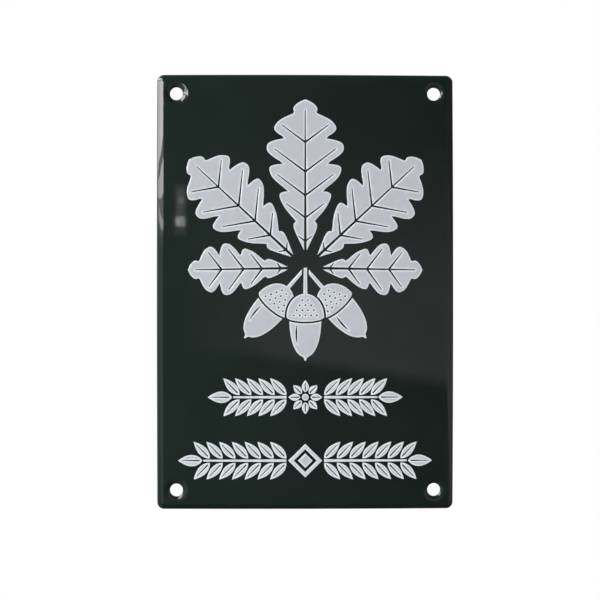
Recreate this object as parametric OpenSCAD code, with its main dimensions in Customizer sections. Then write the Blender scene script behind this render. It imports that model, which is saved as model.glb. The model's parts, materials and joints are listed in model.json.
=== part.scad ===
// Enamelled sign plate: a shallow pressed-steel pan with a domed face, rolled edges and four
// dished fixing holes, fired with a dark ground coat all round, a green cover coat on the face
// and white enamel artwork on top.
// The origin is the middle of the hole pattern, in the plane of the wall. X runs to the right,
// Z up, and the face looks along -Y.

/* [Plate] */
// Width of the finished plate
plate_w = 150; // [144:1:170]
// Height of the finished plate
plate_h = 220; // [214:1:240]
// Distance from the wall to the crown of the face
plate_depth = 10; // [9:0.5:14]
// Radius of the ball that the face is a cap of
dome_r = 2000; // [1800:50:4000]
// Radius of the rolled edge and of the corners
roll_r = 3.5; // [3:0.1:3.9]

/* [Sheet and enamel] */
// Thickness of the steel sheet
steel_t = 1.2; // [0.8:0.1:1.4]
// Thickness of the dark ground coat
ground_t = 0.12; // [0.08:0.01:0.18]
// Thickness of the green cover coat
cover_t = 0.2; // [0.12:0.02:0.3]
// Thickness of the white enamel
white_t = 0.08; // [0.05:0.01:0.15]
// Bare band of ground coat between the cover coat and the wall
bare_band = 0.8; // [0.4:0.1:1]

/* [Fixing holes] */
// Radius of a finished hole
hole_r = 3.25; // [2.25:0.25:4]
// Distance from the plate's edges to the middle of a hole
hole_inset = 10; // [9.5:0.25:12]
// Radius of the dished ring around a hole
dish_r = 6; // [5:0.1:6.2]
// Depth of the dish at its middle
dish_depth = 1.2; // [0.8:0.1:1.4]

/* [Leaf spray] */
// Distance from the plate's bottom edge up to the point where the leaves meet
spray_up = 122; // [116:1:126]
// Distance from the tip of the upright leaf to the plate's top edge
top_margin = 13; // [11:1:24]
// Distance from the point where the leaves meet to the tips of the two side leaves
side_leaf = 80; // [68:1:82]
// Distance from that point to the tips of the two low leaves
low_leaf = 59; // [48:1:62]
// Distance from that point to where each leaf starts
leaf_start = 7; // [5:0.5:9]
// Width of a leaf as a share of its length
leaf_share = 0.5; // [0.4:0.01:0.52]
// Lean of the side leaves from upright, in degrees
side_lean = 47; // [45:1:49]
// Lean of the low leaves from upright, in degrees
low_lean = 91; // [89:1:93]
// Length of an acorn with its cup
acorn_l = 32; // [26:1:34]
// Length of an acorn's stalk
stalk_l = 13; // [12:0.5:15]
// Lean of the outer acorns from straight down, in degrees
acorn_lean = 41; // [39:1:43]
// Width of the dark lines that part the white enamel
line_w = 1; // [0.8:0.1:1.2]

/* [Ornament rows] */
// Height of both rows
row_h = 17; // [14:0.5:18]
// Distance from the plate's bottom edge up to the middle of the lower row
lower_row_up = 25; // [24:0.5:27]
// Distance between the middles of the two rows
row_pitch = 32; // [28:0.5:33]
// Length of the upper row
upper_row = 98; // [96:1:110]
// Length of the lower row
lower_row = 128; // [118:1:130]
// Pairs of leaves on each side of the upper row
upper_pairs = 5; // [3:1:5]
// Pairs of leaves on each side of the lower row
lower_pairs = 7; // [5:1:7]

/* [Hidden] */

// Depths of the layers' surfaces behind the finished face
ground_d = cover_t;
steel_d = ground_d + ground_t;
inside_d = steel_d + steel_t;
back_d = inside_d + ground_t;

// The rolls stand this much proud of true tangency with the dome, and the corners of true
// tangency with the rolls, so that each crosses the other cleanly
roll_lift = 0.015;
corner_lift = 0.006;
// How far a cutting shape runs past what it cuts
past = 5;
// Facets of the dome, of the rolls and of the holes
dome_fn = 360;
roll_fn = 64;
hole_fn = 96;

// Distance from the point where the leaves meet to the tip of the upright leaf
top_leaf = plate_h - spray_up - top_margin;
// Lobes of the long and of the short oak leaves, with the tip as half a lobe
long_lobes = 6;
short_lobes = 5;
// Steps round a lobe, and how far the lobes are drawn forward
lobe_steps = 12;
lobe_lean = 0.6;
// Midrib of an oak leaf: its widths, and how much of the leaf it runs along
midrib_wide = 1.4 * line_w;
midrib_fine = 0.5 * line_w;
midrib_run = 0.93;
// Side vein: its widths, its slope, and how far it runs towards the edge
vein_wide = 0.95 * line_w;
vein_fine = 0.45 * line_w;
vein_slope = 0.75;
vein_reach = 0.8;
// An acorn's half width and cup height as shares of its length
nut_half = 0.25 * acorn_l;
cup_h = 0.36 * acorn_l;
nut_h = acorn_l - cup_h;
cup_half = 1.18 * nut_half;
// Length of the point under the nut, and its half widths at the foot and at the end
nut_tip = 0.05 * acorn_l;
tip_wide = 0.9 * line_w;
tip_fine = 0.3 * line_w;
// How far the cup's rim bellies down, as a share of the cup's height
rim_belly = 0.22;
// Widths of an acorn's stalk at its top and at the cup
stalk_fine = 1.6 * line_w;
stalk_wide = 2 * line_w;
// Studs of a cup: their size, and the distances along a row and between rows
stud_w = 0.85 * line_w;
stud_pitch = 0.36 * nut_half;
stud_rise = 0.22 * cup_h;
// Width of the dark lines under the cup's rim and on the nut
groove_w = 0.9 * line_w;
// Angle between a row's stem and its leaves, and the length of such a leaf and its half width
bay_angle = 46;
bay_l = 0.69 * row_h;
bay_half_w = 0.19 * bay_l;
// Length and half width of the leaf at a row's end
end_l = 0.72 * row_h;
end_half_w = 0.17 * row_h;
// Widths of a row's stem at its two ends, and the bare stretch before its end leaf
stem_wide = 1.3 * line_w;
stem_fine = 0.9 * line_w;
stem_bare = 0.22 * row_h;

hole_x = plate_w / 2 - hole_inset;
hole_z = plate_h / 2 - hole_inset;
// Radius of the ball that presses a dish, and where the dome lies at a hole
dish_ball = (dish_r * dish_r + dish_depth * dish_depth) / (2 * dish_depth);
dome_y = dome_r - plate_depth;
hole_y = dome_y - sqrt(pow(dome_r, 2) - pow(hole_x, 2) - pow(hole_z, 2));

// Moves a long radius in two steps, so that its decimals aren't rounded away
module out_to(r) {
    translate([floor(r), 0]) translate([r - floor(r), 0]) children();
}

// Cross-section of the whole plate with its two rolled edges, turned about the dome's middle
module rolled_section(width, length, depth) {
    roll_mid = width / 2 - roll_r;
    ring_r = sqrt(pow(dome_r - roll_r, 2) - pow(roll_mid, 2)) + roll_lift;
    sweep = 2 * atan((length / 2 + past) / ring_r);
    wall = plate_depth + 2 * past;
    rotate_extrude(angle = sweep, start = 270 - sweep / 2, $fn = dome_fn) {
        out_to(ring_r - wall)
            translate([0, depth - width / 2]) square([wall, width - 2 * depth]);
        out_to(ring_r)
            translate([-1, -roll_mid]) square([roll_r + past, 2 * roll_mid]);
        for (side = [-1, 1])
            out_to(ring_r) translate([0, side * roll_mid]) circle(roll_r - depth, $fn = roll_fn);
    }
}

// What lies outside the round of the four corners
module corner_waste(depth) {
    mid_x = plate_w / 2 - roll_r;
    mid_z = plate_h / 2 - roll_r;
    mid_y = dome_y - sqrt(pow(dome_r - roll_r, 2) - pow(mid_x, 2) - pow(mid_z, 2));
    for (flip_x = [0, 1], flip_z = [0, 1]) mirror([flip_x, 0, 0]) mirror([0, 0, flip_z])
        translate([mid_x + corner_lift, mid_y - roll_lift - corner_lift, mid_z + corner_lift])
            difference() {
                translate([0, -2 * plate_depth, 0])
                    cube([roll_r + past, 4 * plate_depth, roll_r + past]);
                sphere(roll_r - depth, $fn = roll_fn);
                rotate([-90, 0, 0])
                    cylinder(r = roll_r - depth, h = 3 * plate_depth, $fn = roll_fn);
            }
}

// Places something at each fixing hole
module at_holes() {
    for (x = [-hole_x, hole_x], z = [-hole_z, hole_z]) translate([x, 0, z]) children();
}

// The four holes, as straight bores through everything
module bores(radius) {
    at_holes() translate([0, past, 0]) rotate([90, 0, 0])
        cylinder(r = radius, h = plate_depth + 2 * past, $fn = hole_fn);
}

// Everything behind a surface that lies at this depth in the face, as far back as rear_y
module filled(depth, rear_y) {
    difference() {
        intersection() {
            translate([0, dome_y, 0]) sphere(dome_r - depth, $fn = dome_fn);
            translate([0, dome_y, 0]) rotate([0, 90, 0])
                rolled_section(plate_w, plate_h, depth);
            translate([0, dome_y, 0]) rolled_section(plate_h, plate_w, depth);
            translate([-plate_w, -2 * plate_depth, -plate_h])
                cube([2 * plate_w, 2 * plate_depth + rear_y, 2 * plate_h]);
        }
        corner_waste(depth);
        at_holes() translate([0, hole_y + dish_depth - dish_ball, 0])
            sphere(dish_ball + depth, $fn = hole_fn);
    }
}

// Pressed sheet-steel pan
module steel_plate() {
    color("dimgray") difference() {
        filled(steel_d, -ground_t);
        filled(inside_d, past);
        bores(hole_r + ground_t);
    }
}

// Dark ground coat under the cover coat
module front_ground_coat() {
    color([0.07, 0.08, 0.10]) difference() {
        filled(ground_d, 0);
        filled(steel_d, past);
        bores(hole_r);
    }
}

// Dark ground coat on the back, round the rim and down the holes
module back_ground_coat() {
    color([0.10, 0.11, 0.13]) difference() {
        filled(steel_d, 0);
        filled(back_d, past);
        steel_plate();
        bores(hole_r);
    }
}

// Green cover coat over the face and down the edges
module green_cover_coat() {
    color([0.11, 0.16, 0.145]) difference() {
        filled(0, -bare_band);
        filled(ground_d, past);
        bores(hole_r);
    }
}

// How far round a lobe a point lies, from 0 in a notch to 1 on a crown, with a crown at the tip
function lobe_wave(s, lobes) = abs(cos(180 * (lobes - 0.5) * (1 - s)));

// Half width of an oak leaf at a share of its length, widest past its middle
function oak_half(s, half, lobes) =
    half * pow(sin(180 * pow(s, 1.35)), 0.72) * (1 - 0.46 * pow(1 - lobe_wave(s, lobes), 1.5));

// Point at a share of the way from an oak leaf's midrib to its edge
function oak_point(s, share, length, lobes) =
    let (out = share * oak_half(s, leaf_share * length / 2, lobes))
    [out, length * s + lobe_lean * out * (1 - s)];

// Half width of a plain pointed leaf at a share of its length
function bay_half(s, half) = half * pow(sin(180 * pow(s, 0.85)), 0.9);

// Half width of the nut at a share of its height below the cup, down to the foot of its tip
function nut_width(s) = nut_half * sqrt(1 - pow(s, 2.4));

// Closes a right-hand edge, drawn from the base to the tip, with its mirror image
function both_sides(edge) =
    concat(edge, [for (i = [len(edge) - 2:-1:1]) [-edge[i][0], edge[i][1]]]);

// Straight line that tapers from one point to the other
module taper(from, to, wide, narrow) {
    run = norm(to - from);
    translate(from) rotate(atan2(to[1] - from[1], to[0] - from[0]))
        polygon([[0, -wide / 2], [run, -narrow / 2], [run, narrow / 2], [0, wide / 2]]);
}

module oak_outline(length, lobes) {
    steps = lobes * lobe_steps;
    polygon(both_sides([for (i = [0:steps]) oak_point(i / steps, 1, length, lobes)]));
}

// Oak leaf that stands on the origin, with a dark midrib and a dark vein into each lobe
module oak_leaf(length, lobes) {
    difference() {
        oak_outline(length, lobes);
        taper([0, -line_w], [0, midrib_run * length], midrib_wide, midrib_fine);
        for (k = [1:lobes - 1], flip = [0, 1]) {
            tip = oak_point(1 - k / (lobes - 0.5), vein_reach, length, lobes);
            mirror([flip, 0])
                taper([0, tip[1] - vein_slope * tip[0]], tip, vein_wide, vein_fine);
        }
    }
}

// Plain pointed leaf that stands on the origin, with a dark midrib
module bay_leaf(length, half) {
    steps = 12;
    difference() {
        polygon(both_sides([for (i = [0:steps]) [bay_half(i / steps, half), length * i / steps]]));
        taper([0, 0.12 * length], [0, 0.82 * length], 0.7 * line_w, 0.4 * line_w);
    }
}

// Outline of an acorn that hangs from the origin by its stalk
module acorn_outline() {
    steps = 16;
    taper([0, 0], [0, -stalk_l - line_w], stalk_fine, stalk_wide);
    translate([0, -stalk_l - cup_h]) {
        polygon([
            for (a = [0:10:180]) [cup_half * cos(a), cup_h * sin(a)],
            for (a = [190:10:350]) [cup_half * cos(a), rim_belly * cup_h * sin(a)]
        ]);
        mirror([0, 1]) polygon(concat(
            [for (i = [0:steps - 1]) [nut_width(i / steps), nut_h * i / steps]],
            [[tip_wide, nut_h], [tip_fine, nut_h + nut_tip]],
            [[-tip_fine, nut_h + nut_tip], [-tip_wide, nut_h]],
            [for (i = [steps - 1:-1:0]) [-nut_width(i / steps), nut_h * i / steps]]
        ));
    }
}

// Acorn with a studded cup, a dark line under the cup's rim and a dark glint on the nut
module acorn() {
    glint_x = 0.62 * nut_half;
    glint_z = 0.42 * nut_h;
    first_stud = 0.06 * cup_h;
    difference() {
        acorn_outline();
        translate([0, -stalk_l - cup_h]) {
            for (row = [0:3], i = [-3:3]) {
                x = (i + (row % 2) / 2) * stud_pitch;
                if (abs(x) < nut_half * (1.05 - 0.27 * row))
                    translate([x, first_stud + row * stud_rise]) rotate(45)
                        square(stud_w, center = true);
            }
            polygon([
                for (a = [180:10:360]) [cup_half * cos(a), rim_belly * cup_h * sin(a)],
                for (a = [360:-10:180])
                    [1.02 * cup_half * cos(a), rim_belly * cup_h * sin(a) - groove_w]
            ]);
            polygon([
                for (a = [145:6:217]) [glint_x * cos(a), glint_z * (sin(a) - 1)],
                for (a = [211:-6:151])
                    [glint_x * cos(a) + groove_w * sin(2.5 * (a - 145)), glint_z * (sin(a) - 1)]
            ]);
        }
    }
}

// Sets a leaf out from the point where the leaves meet
module leaned(angle) {
    rotate(angle) translate([0, leaf_start]) children();
}

// Five oak leaves, each parted from the one over it by a dark line
module leaves() {
    leaned(0) oak_leaf(top_leaf - leaf_start, long_lobes);
    for (side = [-1, 1]) {
        difference() {
            leaned(side * side_lean) oak_leaf(side_leaf - leaf_start, long_lobes);
            offset(delta = line_w) leaned(0) oak_outline(top_leaf - leaf_start, long_lobes);
        }
        difference() {
            leaned(side * low_lean) oak_leaf(low_leaf - leaf_start, short_lobes);
            offset(delta = line_w) {
                leaned(side * side_lean) oak_outline(side_leaf - leaf_start, long_lobes);
                rotate(side * acorn_lean) acorn_outline();
            }
        }
    }
}

// Three acorns, the outer two behind the middle one
module acorns() {
    acorn();
    for (side = [-1, 1]) difference() {
        rotate(side * acorn_lean) acorn();
        offset(delta = line_w) acorn_outline();
    }
}

// Two leafy stems that run out from a row's middle piece to both its ends
module garland(length, pairs) {
    start = row_h / 2 + line_w;
    stem_end = length / 2 - end_l;
    step = (stem_end - stem_bare - start) / (pairs - 1);
    for (flip = [0, 1]) mirror([flip, 0]) {
        taper([start, 0], [stem_end - line_w / 2, 0], stem_wide, stem_fine);
        for (i = [0:pairs - 1], up = [-1, 1])
            translate([start + i * step, 1.1 * up * line_w]) rotate(up * bay_angle - 90)
                bay_leaf(bay_l, bay_half_w);
        translate([stem_end, 0]) rotate(-90) bay_leaf(end_l, end_half_w);
    }
}

// Eight petals round a bead
module rosette(size) {
    for (i = [0:7]) rotate(45 * i) translate([0, 0.15 * size])
        bay_leaf(0.35 * size, 0.105 * size);
    circle(0.1 * size, $fn = hole_fn);
}

// Square on its corner inside a square frame on its corner
module lozenge(size) {
    side = size / sqrt(2);
    frame_w = 1.9 * line_w;
    rotate(45) {
        difference() {
            square(side, center = true);
            square(side - 2 * frame_w, center = true);
        }
        square(side - 2 * frame_w - 3 * line_w, center = true);
    }
}

// Fires a flat drawing on to the domed face as a thin coat
module on_face(up) {
    difference() {
        intersection() {
            translate([0, 0, up]) rotate([90, 0, 0]) linear_extrude(2 * plate_depth) children();
            translate([0, dome_y, 0]) sphere(dome_r + white_t, $fn = dome_fn);
        }
        translate([0, dome_y, 0]) sphere(dome_r, $fn = dome_fn);
    }
}

// White enamel oak leaves
module white_leaves() {
    color([0.80, 0.81, 0.85]) on_face(spray_up - plate_h / 2) leaves();
}

// White enamel acorns under the leaves
module white_acorns() {
    color([0.80, 0.81, 0.85]) on_face(spray_up - plate_h / 2) acorns();
}

// White enamel rosette with a garland on each side
module white_upper_row() {
    color([0.80, 0.81, 0.85]) on_face(lower_row_up + row_pitch - plate_h / 2) {
        rosette(row_h);
        garland(upper_row, upper_pairs);
    }
}

// White enamel lozenge with a garland on each side
module white_lower_row() {
    color([0.80, 0.81, 0.85]) on_face(lower_row_up - plate_h / 2) {
        lozenge(row_h);
        garland(lower_row, lower_pairs);
    }
}

steel_plate();
front_ground_coat();
back_ground_coat();
green_cover_coat();
white_leaves();
white_acorns();
white_upper_row();
white_lower_row();
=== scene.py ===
import json
import math

import bmesh
import bpy
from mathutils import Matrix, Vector, kdtree, noise as lumps


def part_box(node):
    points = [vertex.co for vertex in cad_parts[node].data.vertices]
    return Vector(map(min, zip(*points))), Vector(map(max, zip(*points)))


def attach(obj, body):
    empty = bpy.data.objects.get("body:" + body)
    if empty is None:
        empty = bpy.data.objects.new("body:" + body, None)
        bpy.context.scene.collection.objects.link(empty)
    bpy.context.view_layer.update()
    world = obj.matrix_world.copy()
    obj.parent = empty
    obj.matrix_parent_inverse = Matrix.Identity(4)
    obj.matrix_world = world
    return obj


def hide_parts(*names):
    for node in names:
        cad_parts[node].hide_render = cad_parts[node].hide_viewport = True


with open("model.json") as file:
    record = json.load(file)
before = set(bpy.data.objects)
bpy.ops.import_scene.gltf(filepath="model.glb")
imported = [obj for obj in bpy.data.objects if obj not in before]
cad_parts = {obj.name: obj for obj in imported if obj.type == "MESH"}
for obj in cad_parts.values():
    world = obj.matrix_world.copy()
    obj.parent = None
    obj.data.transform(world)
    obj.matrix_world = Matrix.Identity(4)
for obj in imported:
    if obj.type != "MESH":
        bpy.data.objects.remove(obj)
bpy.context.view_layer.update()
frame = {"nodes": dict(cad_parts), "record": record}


# Steel plate
# A shallow pan pressed from sheet steel, with a domed face, rolled edges and four dished holes.
# The enamel covers it all over, so it keeps its CAD mesh and only gets the grey of pickled steel.
mm = 0.001


def principled(name, base, roughness):
    material = bpy.data.materials.new(name)
    material.use_nodes = True
    shader = material.node_tree.nodes["Principled BSDF"]
    shader.inputs["Base Color"].default_value = (*base, 1)
    shader.inputs["Roughness"].default_value = roughness
    return material, material.node_tree, shader


def node(tree, kind, **settings):
    made = tree.nodes.new(kind)
    for key, value in settings.items():
        if key in made.inputs:
            made.inputs[key].default_value = value
        else:
            setattr(made, key, value)
    return made


# Soft lumps that are fixed to the piece, so many to the metre
def noise(tree, scale, detail=2):
    place = node(tree, "ShaderNodeTexCoord")
    made = node(tree, "ShaderNodeTexNoise", Scale=scale, Detail=detail)
    tree.links.new(place.outputs["Object"], made.inputs["Vector"])
    return made.outputs["Fac"]


# A band of colours, or of greys where a stop gives one number
def ramp(tree, value, *stops):
    made = node(tree, "ShaderNodeValToRGB")
    band = made.color_ramp
    while len(band.elements) < len(stops):
        band.elements.new(1)
    for element, (position, color) in zip(band.elements, stops):
        element.position = position
        element.color = (*color, 1) if isinstance(color, tuple) else (color, color, color, 1)
    tree.links.new(value, made.inputs["Fac"])
    return made.outputs["Color"]


def bump(tree, shader, *layers):
    normal = None
    for height, depth in layers:
        made = node(tree, "ShaderNodeBump", Strength=1, Distance=depth)
        tree.links.new(height, made.inputs["Height"])
        if normal:
            tree.links.new(normal, made.inputs["Normal"])
        normal = made.outputs["Normal"]
    tree.links.new(normal, shader.inputs["Normal"])


# The fine grain of the pickled sheet
steel_color = (0.32, 0.32, 0.33)
steel_dark = (0.24, 0.24, 0.25)
steel_light = (0.38, 0.38, 0.39)
steel, tree, shader = principled("pickled_steel", steel_color, 0.45)
shader.inputs["Metallic"].default_value = 1
grain = noise(tree, 900, 4)
tone = ramp(tree, grain, (0.3, steel_dark), (0.7, steel_light))
tree.links.new(tone, shader.inputs["Base Color"])
bump(tree, shader, (grain, 0.01 * mm))
frame["nodes"]["steel_plate"].data.materials.clear()
frame["nodes"]["steel_plate"].data.materials.append(steel)


# Front ground coat
# The first enamel, fired straight on the steel: a thin blue-black glass that the cover coat hides.
# It shows as a narrow dark band round the side, next to the wall.
half_w, _, half_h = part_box("green_cover_coat")[1]
crown_y = -10 * mm
holes = next(m for m in frame["record"]["mounts"] if m["name"] == "mounting_holes")["dims"]
hole_x = holes["spacing_x_mm"] * mm / 2
hole_z = holes["spacing_y_mm"] * mm / 2
hole_r = holes["hole_r_mm"] * mm
dome_r = 2000 * mm
dome_mid = Vector((0, crown_y + dome_r, 0))
roll_r = 3.5 * mm
dish_r = 6 * mm
dish_slope = 0.1
dish_steeper = 0.4
dish_curl = dish_steeper / (3 * (dish_r - hole_r) ** 2)
crease = 0.3 * mm

# The plate is drawn flat first: a grid up to where the rolls start, then a row of faces for each
# step round the roll and down the side, and rings of faces into each hole.
flat_x = (half_w - roll_r) * dome_r / (dome_r - roll_r)
flat_z = (half_h - roll_r) * dome_r / (dome_r - roll_r)
grid_x = 44
grid_z = 70
row = 1 * mm
edge_rows = 24
corner_steps = 10
bore_rows = 14
ring_step = 0.2 * mm
ring_r = 3.95 * mm
ring_radii_mm = [4.4, 4.9, 5.3, 5.55, 5.75, 5.9, 6.05, 6.2, 6.4]
ring_sides = 64
slack = row / 9
touching = row / 100
four_corners = [(-1, -1), (1, -1), (-1, 1), (1, 1)]


# Cuts the drawing along a straight line at each place on an axis
def score(bm, axis, places):
    for place in places:
        everything = bm.verts[:] + bm.edges[:] + bm.faces[:]
        bmesh.ops.bisect_plane(bm, geom=everything, plane_co=axis * place, plane_no=axis)


def evenly(start, end, count):
    return [start + (end - start) * i / count for i in range(1, count)]


# Even lines over the middle, closer ones beside the holes, and one for each row of the edges
def scored_lines(flat, hole, spans):
    square = 2 * hole - flat
    edges = [flat + i * row for i in range(edge_rows)]
    beside = [square] + evenly(square, flat, ring_sides // 4)
    middle = evenly(-square, square, spans)
    return middle + [side * place for place in edges + beside for side in (-1, 1)]


# The rows of a side are spun round the corner of the flat face to join those of the next side
def turn_corner(bm, x, z):
    spoke = [
        e for e in bm.edges if e.is_boundary
        and all(abs(v.co.y - z * flat_z) < slack and v.co.x * x > flat_x - slack for v in e.verts)
    ]
    centre = Vector((x * flat_x, z * flat_z, 0))
    bmesh.ops.spin(
        bm, geom=spoke + list({v for e in spoke for v in e.verts}), cent=centre,
        axis=Vector((0, 0, 1)), angle=x * z * math.pi / 2, steps=corner_steps,
        use_merge=False, use_normal_flip=False, use_duplicate=False)


# The point of the square round a hole that lies in a direction from its middle
def squared(out):
    quarter, along = divmod(math.atan2(out.y, out.x) + math.pi / 4, math.pi / 2)
    side = complex(1, along / (math.pi / 4) - 1) * 1j ** round(quarter)
    return Vector((side.real * (flat_x - hole_x), side.imag * (flat_z - hole_z), 0))


# Rings run from inside the hole out to the square that was left open in the grid, and the last
# ring takes the square's shape to join it
def ring_hole(bm, x, z):
    centre = Vector((x * hole_x, z * hole_z, 0))
    radius = ring_r - bore_rows * ring_step
    made = bmesh.ops.create_circle(bm, cap_ends=False, radius=radius, segments=ring_sides)
    bmesh.ops.translate(bm, verts=made["verts"], vec=centre)
    ring = list({e for v in made["verts"] for e in v.link_edges})
    inner = [ring_r - i * ring_step for i in range(bore_rows - 1, -1, -1)]
    for wider in inner + [r * mm for r in ring_radii_mm] + [None]:
        grown = bmesh.ops.extrude_edge_only(bm, edges=ring)["geom"]
        verts = {g for g in grown if isinstance(g, bmesh.types.BMVert)}
        ring = [g for g in grown if isinstance(g, bmesh.types.BMEdge) and verts.issuperset(g.verts)]
        for v in verts:
            out = v.co - centre
            v.co = centre + (out * wider / radius if wider else squared(out))
        radius = wider
    bmesh.ops.remove_doubles(bm, verts=bm.verts, dist=touching)


def flat_plate():
    bm = bmesh.new()
    bmesh.ops.create_grid(bm, x_segments=1, y_segments=1, size=1)
    reach = (flat_x + edge_rows * row, flat_z + edge_rows * row, 1)
    bmesh.ops.scale(bm, vec=reach, verts=bm.verts)
    score(bm, Vector((1, 0, 0)), scored_lines(flat_x, hole_x, grid_x))
    score(bm, Vector((0, 1, 0)), scored_lines(flat_z, hole_z, grid_z))
    spare = []
    for face in bm.faces:
        x, z = (abs(c) for c in face.calc_center_median().xy)
        on_edges = x > flat_x + slack, z > flat_z + slack
        by_hole = x > 2 * hole_x - flat_x and z > 2 * hole_z - flat_z
        if all(on_edges) or by_hole and not any(on_edges):
            spare.append(face)
    bmesh.ops.delete(bm, geom=spare, context="FACES")
    for x, z in four_corners:
        turn_corner(bm, x, z)
    bmesh.ops.remove_doubles(bm, verts=bm.verts, dist=touching)
    bmesh.ops.dissolve_degenerate(bm, edges=bm.edges, dist=touching)
    for x, z in four_corners:
        ring_hole(bm, x, z)
    bmesh.ops.recalc_face_normals(bm, faces=bm.faces)
    return bm


# The larger of two heights, with a soft crease where they meet
def smooth_max(a, b):
    blend = max(crease - abs(a - b), 0)
    return max(a, b) + blend * blend / (4 * crease)


# The face at a depth behind its finished surface. Each dish grows steeper towards its hole.
def face_y(x, z, depth):
    dome = dome_mid.y - math.sqrt((dome_r - depth) ** 2 - x * x - z * z)
    inside = smooth_max(dish_r - math.hypot(abs(x) - hole_x, abs(z) - hole_z), 0)
    return dome + dish_slope * inside + dish_curl * inside ** 3


# Folds the flat drawing into shape. edge_at and bore_at say where each row of a side or hole goes,
# and rows past the last one used are left out.
def pressed(flat, surface, depth, edge_at, bore_at, last_edge, last_bore):
    bm = flat.copy()
    spare = []
    for v in bm.verts:
        x, z = v.co.x, v.co.y
        near = Vector((max(-flat_x, min(flat_x, x)), 0, max(-flat_z, min(flat_z, z))))
        out = Vector((x, 0, z)) - near
        hole = Vector((math.copysign(hole_x, x), 0, math.copysign(hole_z, z)))
        from_hole = Vector((x, 0, z)) - hole
        if out.length > slack:
            step = round(out.length / row)
            if step > last_edge:
                spare.append(v)
                continue
            v.co = edge_at(step, near, out.normalized(), depth)
        elif from_hole.length < ring_r - ring_step / 2:
            step = round((ring_r - from_hole.length) / ring_step)
            if step > last_bore:
                spare.append(v)
                continue
            v.co = bore_at(step, hole, from_hole.normalized(), depth)
        else:
            v.co = Vector((x, surface(x, z, depth), z))
    bmesh.ops.delete(bm, geom=spare, context="VERTS")
    return bm


# Middle of the roll beside a point on the flat face's edge
def roll_middle(near):
    middle = near * (dome_r - roll_r) / dome_r
    middle.y = dome_mid.y - math.sqrt((dome_r - roll_r) ** 2 - middle.x ** 2 - middle.z ** 2)
    return middle


roll_steps = 10


# Round the roll, from the face to where the side starts
def on_roll(step, near, out, depth):
    middle = roll_middle(near)
    upright = (middle - dome_mid).normalized()
    return middle + upright.slerp(out, step / roll_steps) * (roll_r - depth)


def down_side(near, out, depth, y):
    place = roll_middle(near) + out * (roll_r - depth)
    place.y = y
    return place


crisp = math.radians(35)


# Smooth shading except at crisp edges. The plate has one body, which every coat rides on.
def finish_piece(name, bm, material):
    bmesh.ops.recalc_face_normals(bm, faces=bm.faces)
    for edge in bm.edges:
        edge.smooth = edge.calc_face_angle(0) < crisp
    for face in bm.faces:
        face.smooth = True
    mesh = bpy.data.meshes.new(name)
    bm.to_mesh(mesh)
    bm.free()
    mesh.materials.append(material)
    piece = bpy.data.objects.new(name, mesh)
    bpy.context.scene.collection.objects.link(piece)
    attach(piece, "root")
    return piece


cover_t = 0.2 * mm
ground_t = 0.12 * mm
side_rows = 4
band_end = -0.3 * mm
lap_rows = 2


def front_ground_edge(step, near, out, depth):
    if step <= roll_steps:
        return on_roll(step, near, out, depth)
    share = (step - roll_steps) / side_rows
    return down_side(near, out, depth, roll_middle(near).y * (1 - share) + band_end * share)


def front_ground_bore(step, hole, out, depth):
    border = hole_r + cover_t
    place = hole + out * (border + (ring_r - border) * (1 - step / lap_rows))
    place.y = face_y(place.x, place.z, depth)
    return place


flat = flat_plate()

# Fine pale specks, slow waves and a fine peel
ground_color = (0.010, 0.011, 0.015)
speck_color = (0.13, 0.135, 0.15)
ground, tree, shader = principled("ground_enamel", ground_color, 0.16)
specks = ramp(tree, noise(tree, 1500, 3), (0.64, ground_color), (0.72, speck_color))
tree.links.new(specks, shader.inputs["Base Color"])
bump(tree, shader, (noise(tree, 240), 0.05 * mm), (noise(tree, 1300, 3), 0.012 * mm))

bm = pressed(
    flat, face_y, cover_t, front_ground_edge, front_ground_bore, roll_steps + side_rows, lap_rows)
bmesh.ops.solidify(bm, geom=bm.faces[:], thickness=ground_t)
front_ground = finish_piece("ground_coat_front", bm, ground)
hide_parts("front_ground_coat")


# Back ground coat
# The same blue-black enamel on the back. It wraps the cut edge of the sheet, where it lies on the
# wall, and lines the holes.
sheet_t = 1.2 * mm
back_depth = cover_t + ground_t + sheet_t + ground_t
dish_depth = 1.2 * mm
dish_ball = (dish_r ** 2 + dish_depth ** 2) / (2 * dish_depth)
dish_y = dome_mid.y - math.sqrt(dome_r ** 2 - hole_x ** 2 - hole_z ** 2) + dish_depth - dish_ball
rim_round = 0.28 * mm
rim_steps = 4
lining_r = hole_r + 0.05 * mm
lining_rows = 3
bore_round = 0.4 * mm
bore_steps = 5


# The back at a depth behind the finished face, where the dishes stand out as parts of a ball
def back_y(x, z, depth):
    dome = dome_mid.y - math.sqrt((dome_r - depth) ** 2 - x * x - z * z)
    off = (abs(x) - hole_x) ** 2 + (abs(z) - hole_z) ** 2
    ball = dish_ball + depth
    if off > ball * ball:
        return dome
    return smooth_max(dome, dish_y + math.sqrt(ball * ball - off))


# Round the roll, down the side, round the rim, and back up outside under the green
def back_ground_edge(step, near, out, depth):
    if step <= roll_steps:
        return on_roll(step, near, out, depth)
    step -= roll_steps
    if step <= side_rows:
        share = step / side_rows
        return down_side(near, out, depth, roll_middle(near).y * (1 - share) - rim_round * share)
    step -= side_rows
    if step <= rim_steps:
        turn = step / rim_steps * math.pi / 2
        inset = depth - rim_round * (1 - math.cos(turn))
        return down_side(near, out, inset, -rim_round * (1 - math.sin(turn)))
    step -= rim_steps + 1
    turn = step / rim_steps * math.pi / 2
    inset = cover_t + rim_round * (1 - math.sin(turn))
    return down_side(near, out, inset, -rim_round * (1 - math.cos(turn)))


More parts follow.
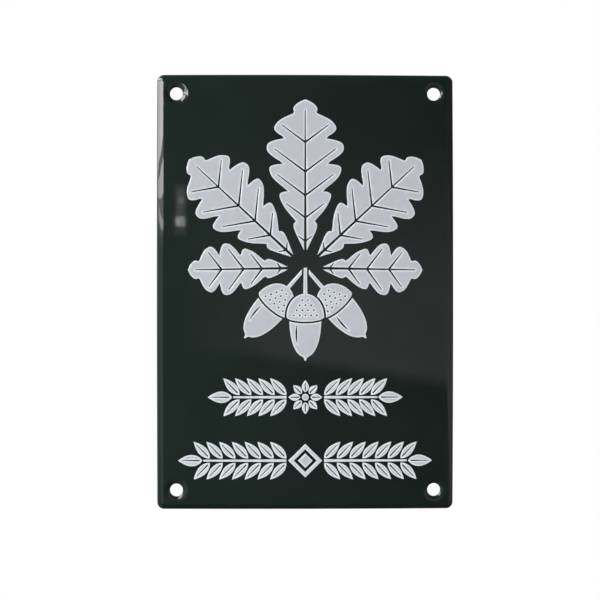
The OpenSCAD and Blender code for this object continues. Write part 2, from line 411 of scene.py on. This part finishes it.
# Round the dish's edge, and then straight along the hole up to the green
def back_ground_bore(step, hole, out, depth):
    ball = dish_ball + depth
    middle_r = lining_r + bore_round
    middle_y = dish_y + math.sqrt((ball - bore_round) ** 2 - middle_r ** 2)
    lean = math.asin(middle_r / (ball - bore_round))
    if step <= bore_steps:
        turn = -lean + step / bore_steps * (math.pi / 2 + lean)
        radius = middle_r - bore_round * math.sin(turn)
        y = middle_y + bore_round * math.cos(turn)
    else:
        share = (step - bore_steps) / lining_rows
        radius = lining_r
        y = middle_y * (1 - share) + (dish_y + dish_ball + cover_t) * share
    place = hole + out * radius
    place.y = y
    return place


back_rows = roll_steps + side_rows + 2 * rim_steps + 1
bm = pressed(
    flat, back_y, back_depth, back_ground_edge, back_ground_bore, back_rows,
    bore_steps + lining_rows)
bmesh.ops.reverse_faces(bm, faces=bm.faces)
bmesh.ops.solidify(bm, geom=bm.faces[:], thickness=ground_t)
back_ground = finish_piece("ground_coat_back", bm, ground)
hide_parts("back_ground_coat")


# Green cover coat
# The dark green glass that is fired over the face and down the sides. It rounds the edges of the
# holes, runs a little way into them, and stops short of the wall with a soft bead.
bead_y = -0.8 * mm
bead_r = 0.08 * mm
bead_corner = math.radians(60)
sag = 0.03 * mm
sag_rows = 3
sags_per_metre = 140
hole_round = 0.55 * mm
hole_steps = 7
lip_lean = math.radians(21)
run_rows = 2
run_step = 0.3 * mm


def green_edge(step, near, out, depth):
    along = (near + out * dish_r) * sags_per_metre
    depth += sag * (0.5 + 0.5 * lumps.noise(along)) * min(step / sag_rows, 1)
    if step <= roll_steps:
        return on_roll(step, near, out, depth)
    share = (step - roll_steps) / side_rows
    return down_side(near, out, depth, roll_middle(near).y * (1 - share) + bead_y * share)


def green_bore(step, hole, out, depth):
    lip = hole + out * (hole_r + hole_round * (1 - math.sin(lip_lean)))
    turn = lip_lean + min(step / hole_steps, 1) * (math.pi / 2 - lip_lean)
    place = hole + out * (hole_r + hole_round * (1 - math.sin(turn)))
    drop = hole_round * (math.cos(lip_lean) - math.cos(turn))
    place.y = face_y(lip.x, lip.z, depth) + drop + max(step - hole_steps, 0) * run_step
    return place


# A faint mottle of two greens, and a gloss that is broken only by long shallow waves
green_color = (0.0092, 0.0148, 0.0128)
green_light = (0.0112, 0.0176, 0.0152)
green, tree, shader = principled("green_enamel", green_color, 0.03)
shader.inputs["IOR"].default_value = 1.6
mottle = ramp(tree, noise(tree, 45, 3), (0.35, green_color), (0.65, green_light))
tree.links.new(mottle, shader.inputs["Base Color"])
bump(tree, shader, (noise(tree, 60), 0.006 * mm), (noise(tree, 420), 0.0004 * mm))

bm = pressed(
    flat, face_y, 0, green_edge, green_bore, roll_steps + side_rows, hole_steps + run_rows)
bmesh.ops.solidify(bm, geom=bm.faces[:], thickness=cover_t)
borders = [e for e in bm.edges if e.calc_face_angle(0) > bead_corner]
bmesh.ops.bevel(
    bm, geom=borders, offset=bead_r, offset_type="OFFSET", affect="EDGES", segments=3,
    profile=0.5, material=-1)
green_coat = finish_piece("green_cover", bm, green)
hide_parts("green_cover_coat")


# White enamel artwork
# A thin cool white glass, fired on the green through a stencil. It stands a little proud, and it is
# thicker along its outline, so its rims are rounder. Their purer white is partly the thicker glass
# and partly a painted highlight.
white_t = 0.079 * mm
bedded = 0.01 * mm
rim_w = 0.1 * mm
rim_foot = 0.35
rim_highlight_w = 0.75 * mm
rim_highlight_fade = 0.7
cell = 0.8 * mm
joined = 0.002 * mm
on_outline = 0.001 * mm
points_an_edge = 4
forwards = 0.9

# Faint clouds, slow waves, and the rim's purer white, partly a painted highlight, which fades
# inwards from the outline
white_color = (0.585, 0.595, 0.645)
white_cloud = (0.55, 0.56, 0.61)
white_rim_and_highlight = (0.86, 0.89, 0.91)
white, tree, shader = principled("white_enamel", white_color, 0.1)
rim = node(tree, "ShaderNodeAttribute", attribute_name="rim")
cloud = ramp(tree, noise(tree, 260, 3), (0.3, white_cloud), (0.7, white_color))
mix = node(tree, "ShaderNodeMix", data_type="RGBA")
mix.inputs["B"].default_value = (*white_rim_and_highlight, 1)
tree.links.new(rim.outputs["Fac"], mix.inputs["Factor"])
tree.links.new(cloud, mix.inputs["A"])
tree.links.new(mix.outputs["Result"], shader.inputs["Base Color"])
bump(tree, shader, (noise(tree, 120), 0.04 * mm), (noise(tree, 700), 0.006 * mm))


# The front of the CAD piece is laid flat, gets a narrow rim and a grid, and grows a back. The front
# then lies over the dome at the white's thickness, lower at the outline, and the back in the green.
def fired_artwork(name, cad_name):
    bm = bmesh.new()
    bm.from_mesh(frame["nodes"][cad_name].data)
    bmesh.ops.remove_doubles(bm, verts=bm.verts, dist=joined)
    bm.normal_update()
    hidden = [f for f in bm.faces if f.normal.y > -forwards]
    bmesh.ops.delete(bm, geom=hidden, context="FACES")
    for v in bm.verts:
        v.co.y = 0
    bmesh.ops.inset_region(
        bm, faces=bm.faces[:], thickness=rim_w, use_boundary=True, use_even_offset=True)
    for i, axis in ((0, Vector((1, 0, 0))), (2, Vector((0, 0, 1)))):
        low = min(v.co[i] for v in bm.verts)
        high = max(v.co[i] for v in bm.verts)
        score(bm, axis, evenly(low, high, round((high - low) / cell)))
    bmesh.ops.dissolve_degenerate(bm, edges=bm.edges, dist=joined)
    bmesh.ops.triangulate(bm, faces=bm.faces[:])
    outline = [e for e in bm.edges if e.is_boundary]
    points = [
        e.verts[0].co.lerp(e.verts[1].co, t / points_an_edge)
        for e in outline for t in range(points_an_edge)
    ]
    nearest = kdtree.KDTree(len(points))
    for i, point in enumerate(points):
        nearest.insert(point, i)
    nearest.balance()
    layer = bm.verts.layers.float.new("rim")
    grown = bmesh.ops.extrude_face_region(
        bm, geom=bm.faces[:] + bm.edges[:] + bm.verts[:], use_keep_orig=True)
    front = {g for g in grown["geom"] if isinstance(g, bmesh.types.BMVert)}
    for v in bm.verts:
        away = nearest.find(v.co)[2]
        # The rim layer holds the painted highlight: a purer white at the outline that fades inwards
        v[layer] = max(0, 1 - away / rim_highlight_w) ** rim_highlight_fade
        if v not in front:
            proud = -bedded
        elif away < on_outline:
            proud = rim_foot * white_t
        else:
            proud = white_t
        v.co.y = dome_mid.y - math.sqrt((dome_r + proud) ** 2 - v.co.x ** 2 - v.co.z ** 2)
    piece = finish_piece(name, bm, white)
    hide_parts(cad_name)


fired_artwork("oak_leaves", "white_leaves")
fired_artwork("acorns", "white_acorns")
fired_artwork("upper_garland", "white_upper_row")
fired_artwork("lower_garland", "white_lower_row")


# Floor
# A small pale disc well below the plate. It keeps the plate's shadow near its middle, and fades
# to the white of the background further out. The plate doesn't mirror it.
floor_z = -0.3
floor_r = 0.45
shadow_r = 0.12
white_from_r = 0.42
bm = bmesh.new()
bmesh.ops.create_circle(bm, cap_ends=True, radius=floor_r, segments=96)
bmesh.ops.translate(bm, verts=bm.verts, vec=(0, 0, floor_z))
mesh = bpy.data.meshes.new("floor")
bm.to_mesh(mesh)
bm.free()
floor = bpy.data.objects.new("floor", mesh)
bpy.context.scene.collection.objects.link(floor)
floor.visible_glossy = False
pale, tree, shader = principled("pale_floor", (0.8, 0.8, 0.8), 0.6)
mesh.materials.append(pale)
path = node(tree, "ShaderNodeLightPath")
place = node(tree, "ShaderNodeTexCoord")
away = node(tree, "ShaderNodeVectorMath", operation="LENGTH")
fade = node(tree, "ShaderNodeMapRange")
shown = node(tree, "ShaderNodeMath", operation="ADD", use_clamp=True)
seen = node(tree, "ShaderNodeMath", operation="ADD", use_clamp=True)
glow = node(tree, "ShaderNodeEmission")
both = node(tree, "ShaderNodeMixShader")
fade.inputs["From Min"].default_value = math.hypot(floor_z, shadow_r)
fade.inputs["From Max"].default_value = math.hypot(floor_z, white_from_r)
tree.links.new(place.outputs["Object"], away.inputs[0])
tree.links.new(away.outputs["Value"], fade.inputs["Value"])
tree.links.new(path.outputs["Is Camera Ray"], shown.inputs[0])
tree.links.new(path.outputs["Is Glossy Ray"], shown.inputs[1])
tree.links.new(shown.outputs[0], seen.inputs[0])
tree.links.new(path.outputs["Is Transmission Ray"], seen.inputs[1])
tree.links.new(seen.outputs[0], glow.inputs["Strength"])
tree.links.new(fade.outputs["Result"], both.inputs["Fac"])
tree.links.new(shader.outputs[0], both.inputs[1])
tree.links.new(glow.outputs[0], both.inputs[2])
tree.links.new(both.outputs[0], tree.nodes["Material Output"].inputs["Surface"])


# Windows
# A row of windows far off on the left lights the plate. It shows in the rolled edge, in the dishes
# and, from one small window, on the face. A pale wall on the right shows in the right of the face.
room_r = 8
wall_columns = 48
wall_rows = 96


# Azimuths and elevations are in degrees from the front, seen from the plate
def direction(azimuth, elevation):
    a, e = math.radians(azimuth), math.radians(elevation)
    return Vector((math.sin(a) * math.cos(e), -math.cos(a) * math.cos(e), math.sin(e)))


# A curved piece of wall between two azimuths, from a low to a high elevation at each end. It adds
# its glow to the room behind it, and the camera doesn't see it. The stops give the glow at each
# elevation. It grows from the first to the second azimuth of rise, and over a soft foot.
def glowing_wall(name, azimuths, left, right, rise, radiance, *stops, soft=0.01):
    bm = bmesh.new()
    bmesh.ops.create_grid(bm, x_segments=wall_columns, y_segments=wall_rows, size=0.5)
    layer = bm.verts.layers.float.new("share")
    for v in bm.verts:
        across, up = v.co.x + 0.5, v.co.y + 0.5
        azimuth = azimuths[0] * (1 - across) + azimuths[1] * across
        v[layer] = min(1, (azimuth - rise[0]) / (rise[1] - rise[0])) * min(1, up / soft)
        low = left[0] * (1 - across) + right[0] * across
        high = left[1] * (1 - across) + right[1] * across
        v.co = room_r * direction(azimuth, low * (1 - up) + high * up)
    mesh = bpy.data.meshes.new(name)
    bm.to_mesh(mesh)
    bm.free()
    wall = bpy.data.objects.new(name, mesh)
    bpy.context.scene.collection.objects.link(wall)
    wall.visible_camera = False
    glow = bpy.data.materials.new(name)
    mesh.materials.append(glow)
    glow.use_nodes = True
    tree = glow.node_tree
    tree.nodes.remove(tree.nodes["Principled BSDF"])
    place = node(tree, "ShaderNodeTexCoord")
    parts = node(tree, "ShaderNodeSeparateXYZ")
    height = node(tree, "ShaderNodeMapRange")
    share = node(tree, "ShaderNodeAttribute", attribute_name="share")
    strength = node(tree, "ShaderNodeMath", operation="MULTIPLY")
    light = node(tree, "ShaderNodeEmission")
    clear = node(tree, "ShaderNodeBsdfTransparent")
    both = node(tree, "ShaderNodeAddShader")
    height.inputs["From Min"].default_value = -room_r
    height.inputs["From Max"].default_value = room_r
    tree.links.new(place.outputs["Object"], parts.inputs[0])
    tree.links.new(parts.outputs["Z"], height.inputs["Value"])
    levels = [(0.5 + 0.5 * math.sin(math.radians(e)), level) for e, level in stops]
    tree.links.new(ramp(tree, height.outputs["Result"], *levels), light.inputs["Color"])
    strength.inputs[1].default_value = radiance
    tree.links.new(share.outputs["Fac"], strength.inputs[0])
    tree.links.new(strength.outputs[0], light.inputs["Strength"])
    tree.links.new(light.outputs[0], both.inputs[0])
    tree.links.new(clear.outputs[0], both.inputs[1])
    tree.links.new(both.outputs[0], tree.nodes["Material Output"].inputs["Surface"])


# A window pane that faces the plate, so many degrees wide and tall
def pane(name, azimuth, elevation, wide, tall, radiance):
    data = bpy.data.lights.new(name, "AREA")
    data.shape = "RECTANGLE"
    data.size = 2 * room_r * math.tan(math.radians(wide / 2))
    data.size_y = 2 * room_r * math.tan(math.radians(tall / 2))
    data.energy = radiance * math.pi * data.size * data.size_y
    lamp = bpy.data.objects.new(name, data)
    lamp.location = room_r * direction(azimuth, elevation)
    lamp.rotation_euler = lamp.location.to_track_quat("Z", "Y").to_euler()
    lamp.visible_camera = False
    bpy.context.scene.collection.objects.link(lamp)


along_left = (-172, -41)
along_right = (-8, 0)
even = (0, 1), (20, 1)
glowing_wall(
    "window_wall", (-118, -13), (3, 17), (3, 17), along_left, 1.3,
    (3.4, 0), (6, 1), (16.5, 1), (16.7, 0))
glowing_wall(
    "long_window", (-118, -15.5), (6.2, 17), (11.6, 17), along_left, 7.2, (16.5, 1), (16.7, 0))
glowing_wall("middle_window", (-110, -12.8), (5.5, 6.2), (7.5, 10.1), along_left, 4.9, *even)
glowing_wall("end_window", (-90, -12.8), (4.6, 5.6), (4.85, 5.6), along_left, 3.3, *even)
glowing_wall(
    "right_wall", (-8, 100), (-4, 13), (-19.3, 2), along_right, 1,
    (-6, 0.3), (0, 0.24), (12, 0), soft=0.052)
pane("high_windows", -74, 35, 84, 23, 8)
pane("patch_window", -8.19, 5.5, 0.64, 0.72, 3)
pane("patch_pane", -8.37, 5.46, 0.3, 0.44, 1.5)
pane("patch_blind", -8.2, 6.93, 0.46, 1.86, 0.44)
pane("patch_gap", -8.18, 7.05, 0.36, 0.45, 1.05)
pane("patch_haze", -8.2, 6.33, 0.8, 3.75, 0.28)
pane("back_fill", 150, 35, 40, 30, 2)


# Room
# The room that the enamel mirrors: pale on the left, darker low down there, dark in front and grey
# on the right. The camera sees plain white in its place, and so does a mirror that faces the back.
room_colors = (
    (0.05, (0.36, 0.42, 0.44)), (0.27, (0.52, 0.62, 0.59)), (0.375, (0.24, 0.33, 0.30)),
    (0.40, (0.11, 0.17, 0.15)), (0.59, 0.02), (0.8, 0.125))
low_left = (0.6, 0, 1)
shaded_from, shaded_fully, shade = -0.54, -0.79, 0.35
back_from, back_fully = 0.6, 0.95
plain_white = (1, 1, 1, 1)

world = bpy.data.worlds.new("studio")
bpy.context.scene.world = world
world.use_nodes = True
tree = world.node_tree
room = tree.nodes["Background"]
path = node(tree, "ShaderNodeLightPath")
where = node(tree, "ShaderNodeTexCoord")
parts = node(tree, "ShaderNodeSeparateXYZ")
side = node(tree, "ShaderNodeMath", operation="MULTIPLY_ADD")
behind = node(tree, "ShaderNodeMapRange")
lean = node(tree, "ShaderNodeVectorMath", operation="DOT_PRODUCT")
lower = node(tree, "ShaderNodeMapRange")
dimmed = node(tree, "ShaderNodeVectorMath", operation="SCALE")
shown = node(tree, "ShaderNodeMath", operation="MULTIPLY_ADD")
seen = node(tree, "ShaderNodeMath", operation="ADD", use_clamp=True)
view = node(tree, "ShaderNodeMix", data_type="RGBA")
side.inputs[1].default_value = 0.5
side.inputs[2].default_value = 0.5
behind.inputs["From Min"].default_value = back_from
behind.inputs["From Max"].default_value = back_fully
lean.inputs[1].default_value = low_left
lower.inputs["From Min"].default_value = shaded_fully
lower.inputs["From Max"].default_value = shaded_from
lower.inputs["To Min"].default_value = shade
view.inputs["B"].default_value = plain_white
room.inputs["Strength"].default_value = 1
tree.links.new(where.outputs["Generated"], parts.inputs[0])
tree.links.new(parts.outputs["X"], side.inputs[0])
tree.links.new(ramp(tree, side.outputs[0], *room_colors), dimmed.inputs[0])
tree.links.new(where.outputs["Generated"], lean.inputs[0])
tree.links.new(lean.outputs["Value"], lower.inputs["Value"])
tree.links.new(lower.outputs["Result"], dimmed.inputs["Scale"])
tree.links.new(dimmed.outputs["Vector"], view.inputs["A"])
tree.links.new(parts.outputs["Y"], behind.inputs["Value"])
tree.links.new(path.outputs["Is Glossy Ray"], shown.inputs[0])
tree.links.new(behind.outputs["Result"], shown.inputs[1])
tree.links.new(path.outputs["Is Camera Ray"], shown.inputs[2])
tree.links.new(shown.outputs[0], seen.inputs[0])
tree.links.new(path.outputs["Is Transmission Ray"], seen.inputs[1])
tree.links.new(seen.outputs[0], view.inputs["Factor"])
tree.links.new(view.outputs["Result"], room.inputs["Color"])


# Camera
# It stands square to the plate, a hair to its left, at the photograph's framing. The plate's height
# and middle in the photograph, in pixels, set how much it takes in.
photo_px = 600
plate_px = 435
plate_mid_px = (305.2, 291.85)
distance = 0.7
yaw = math.radians(0.8)
px = 2 * half_h / plate_px
camera_data = bpy.data.cameras.new("camera")
camera_data.sensor_width = 36
camera_data.lens = camera_data.sensor_width * distance / (photo_px * px)
camera = bpy.data.objects.new("camera", camera_data)
aim_x = (photo_px / 2 - plate_mid_px[0]) * px
aim_z = (plate_mid_px[1] - photo_px / 2) * px
aim = Vector((aim_x, crown_y / 2, aim_z))
camera.location = aim + distance * Vector((-math.sin(yaw), -math.cos(yaw), 0))
camera.rotation_euler = (math.pi / 2, 0, -yaw)
bpy.context.scene.collection.objects.link(camera)
bpy.context.scene.camera = camera
bpy.context.scene.view_settings.view_transform = "Standard"
